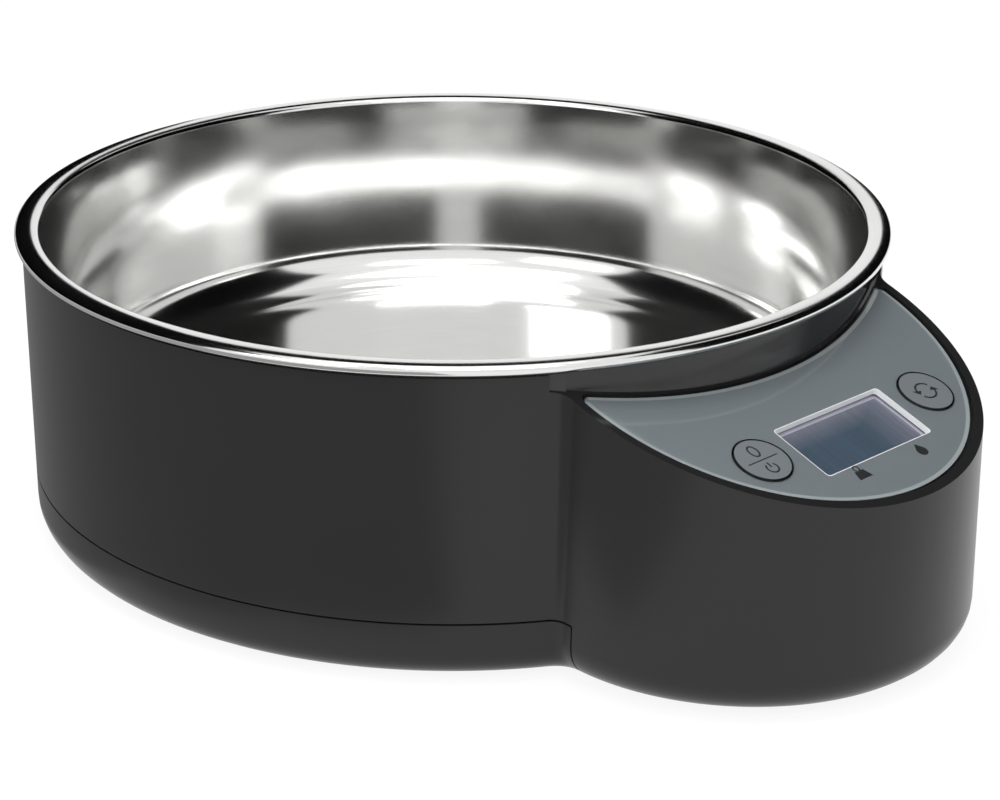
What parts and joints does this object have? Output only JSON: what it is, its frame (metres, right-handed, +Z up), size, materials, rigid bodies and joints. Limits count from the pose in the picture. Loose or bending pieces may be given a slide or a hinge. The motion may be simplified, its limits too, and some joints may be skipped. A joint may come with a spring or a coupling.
{
  "type": "weighing pet bowl",
  "caption": "Round steel food bowl on a weighing platform in a plastic body, with a half-round console for a display and keys.",
  "frame": {"origin": "middle of the footprint, on the surface that the four feet stand on", "axes": "+Z up, -Y towards the front of the console, +X to the right of someone who faces the console"},
  "size_m": [0.215, 0.2574, 0.0763],
  "materials": {
    "polished_steel": "drawn stainless sheet, mirror-polished rim and softly brushed inside",
    "satin_plastic": "moulded anthracite plastic with a fine satin texture",
    "grey_plastic": "mid grey printed film and key caps",
    "platform_plastic": "moulded black plastic, matt",
    "clear_lens": "clear hard-coated acrylic",
    "white_plastic": "white moulded plastic",
    "display_glass": "liquid crystal glass, switched off, blue-grey",
    "backlight_plastic": "milky light guide",
    "rubber": "matt black rubber",
    "aluminium": "machined aluminium",
    "zinc_steel": "zinc-plated steel",
    "board_green": "green solder mask on glass-fibre board",
    "chip_black": "black moulding compound",
    "socket_white": "natural nylon",
    "cell_sleeve": "blue battery sleeve without any print",
    "grey_cable": "grey soft cable jacket",
    "red_wire": "red wire jacket",
    "black_wire": "black wire jacket"
  },
  "bodies": {
    "housing": {"upper_housing": "satin_plastic", "base_tray": "satin_plastic", "panel_lens": "clear_lens", "panel_print_film": "grey_plastic", "display_holder": "white_plastic", "display_glass": "display_glass", "display_backlight": "backlight_plastic", "display_contact_strip": "rubber", "tare_switch": "chip_black", "mode_switch": "chip_black", "main_circuit_board": "board_green", "controller_chip": "chip_black", "load_cell_socket": "socket_white", "battery_socket": "socket_white", "board_screw_1": "zinc_steel", "board_screw_2": "zinc_steel", "board_screw_3": "zinc_steel", "board_screw_4": "zinc_steel", "load_cell": "aluminium", "strain_gauge_coating": "white_plastic", "load_cell_base_screw_1": "zinc_steel", "load_cell_base_screw_2": "zinc_steel", "housing_screw_1": "zinc_steel", "housing_screw_2": "zinc_steel", "housing_screw_3": "zinc_steel", "housing_screw_4": "zinc_steel", "housing_screw_5": "zinc_steel", "housing_screw_6": "zinc_steel", "rubber_foot_1": "rubber", "rubber_foot_2": "rubber", "rubber_foot_3": "rubber", "rubber_foot_4": "rubber", "battery_front": "cell_sleeve", "battery_rear": "cell_sleeve", "battery_bridge_contact": "zinc_steel", "battery_positive_contact": "zinc_steel", "battery_negative_contact": "zinc_steel", "battery_front_spring": "zinc_steel", "battery_rear_spring": "zinc_steel", "load_cell_lead": "grey_cable", "battery_lead_red": "red_wire", "battery_lead_black": "black_wire"},
    "platform": {"weighing_platform": "platform_plastic", "platform_pad_1": "rubber", "platform_pad_2": "rubber", "platform_pad_3": "rubber", "load_cell_hub_screw_1": "zinc_steel", "load_cell_hub_screw_2": "zinc_steel"},
    "bowl": {"steel_bowl": "polished_steel"},
    "tare_key": {"tare_key": "grey_plastic", "tare_switch_plunger": "chip_black"},
    "mode_key": {"mode_key": "grey_plastic", "mode_switch_plunger": "chip_black"},
    "battery_door": {"battery_door": "satin_plastic"}
  },
  "joints": [
    {"name": "platform_weighing", "type": "slide", "parent": "housing", "child": "platform", "axis": [0, 0, 1], "range_m": [-0.0005, 0.00015], "stiffness_N_per_m": 39240, "springref_m": 0.00012, "deforming": ["load_cell"]},
    {"name": "bowl_lift", "type": "slide", "parent": "platform", "child": "bowl", "axis": [0, 0, 1], "range_m": [0, 0.08]},
    {"name": "tare_key_press", "type": "slide", "parent": "housing", "child": "tare_key", "axis": [0, 0.3335, -0.9428], "range_m": [0, 0.0004], "stiffness_N_per_m": 3000, "springref_m": -0.0001},
    {"name": "mode_key_press", "type": "slide", "parent": "housing", "child": "mode_key", "axis": [0, 0.3335, -0.9428], "range_m": [0, 0.0004], "stiffness_N_per_m": 3000, "springref_m": -0.0001},
    {"name": "battery_door_hinge", "type": "hinge", "parent": "housing", "child": "battery_door", "pos_m": [0, -0.07856, 0.001], "axis": [1, 0, 0], "range_deg": [0, 95]}
  ]
}
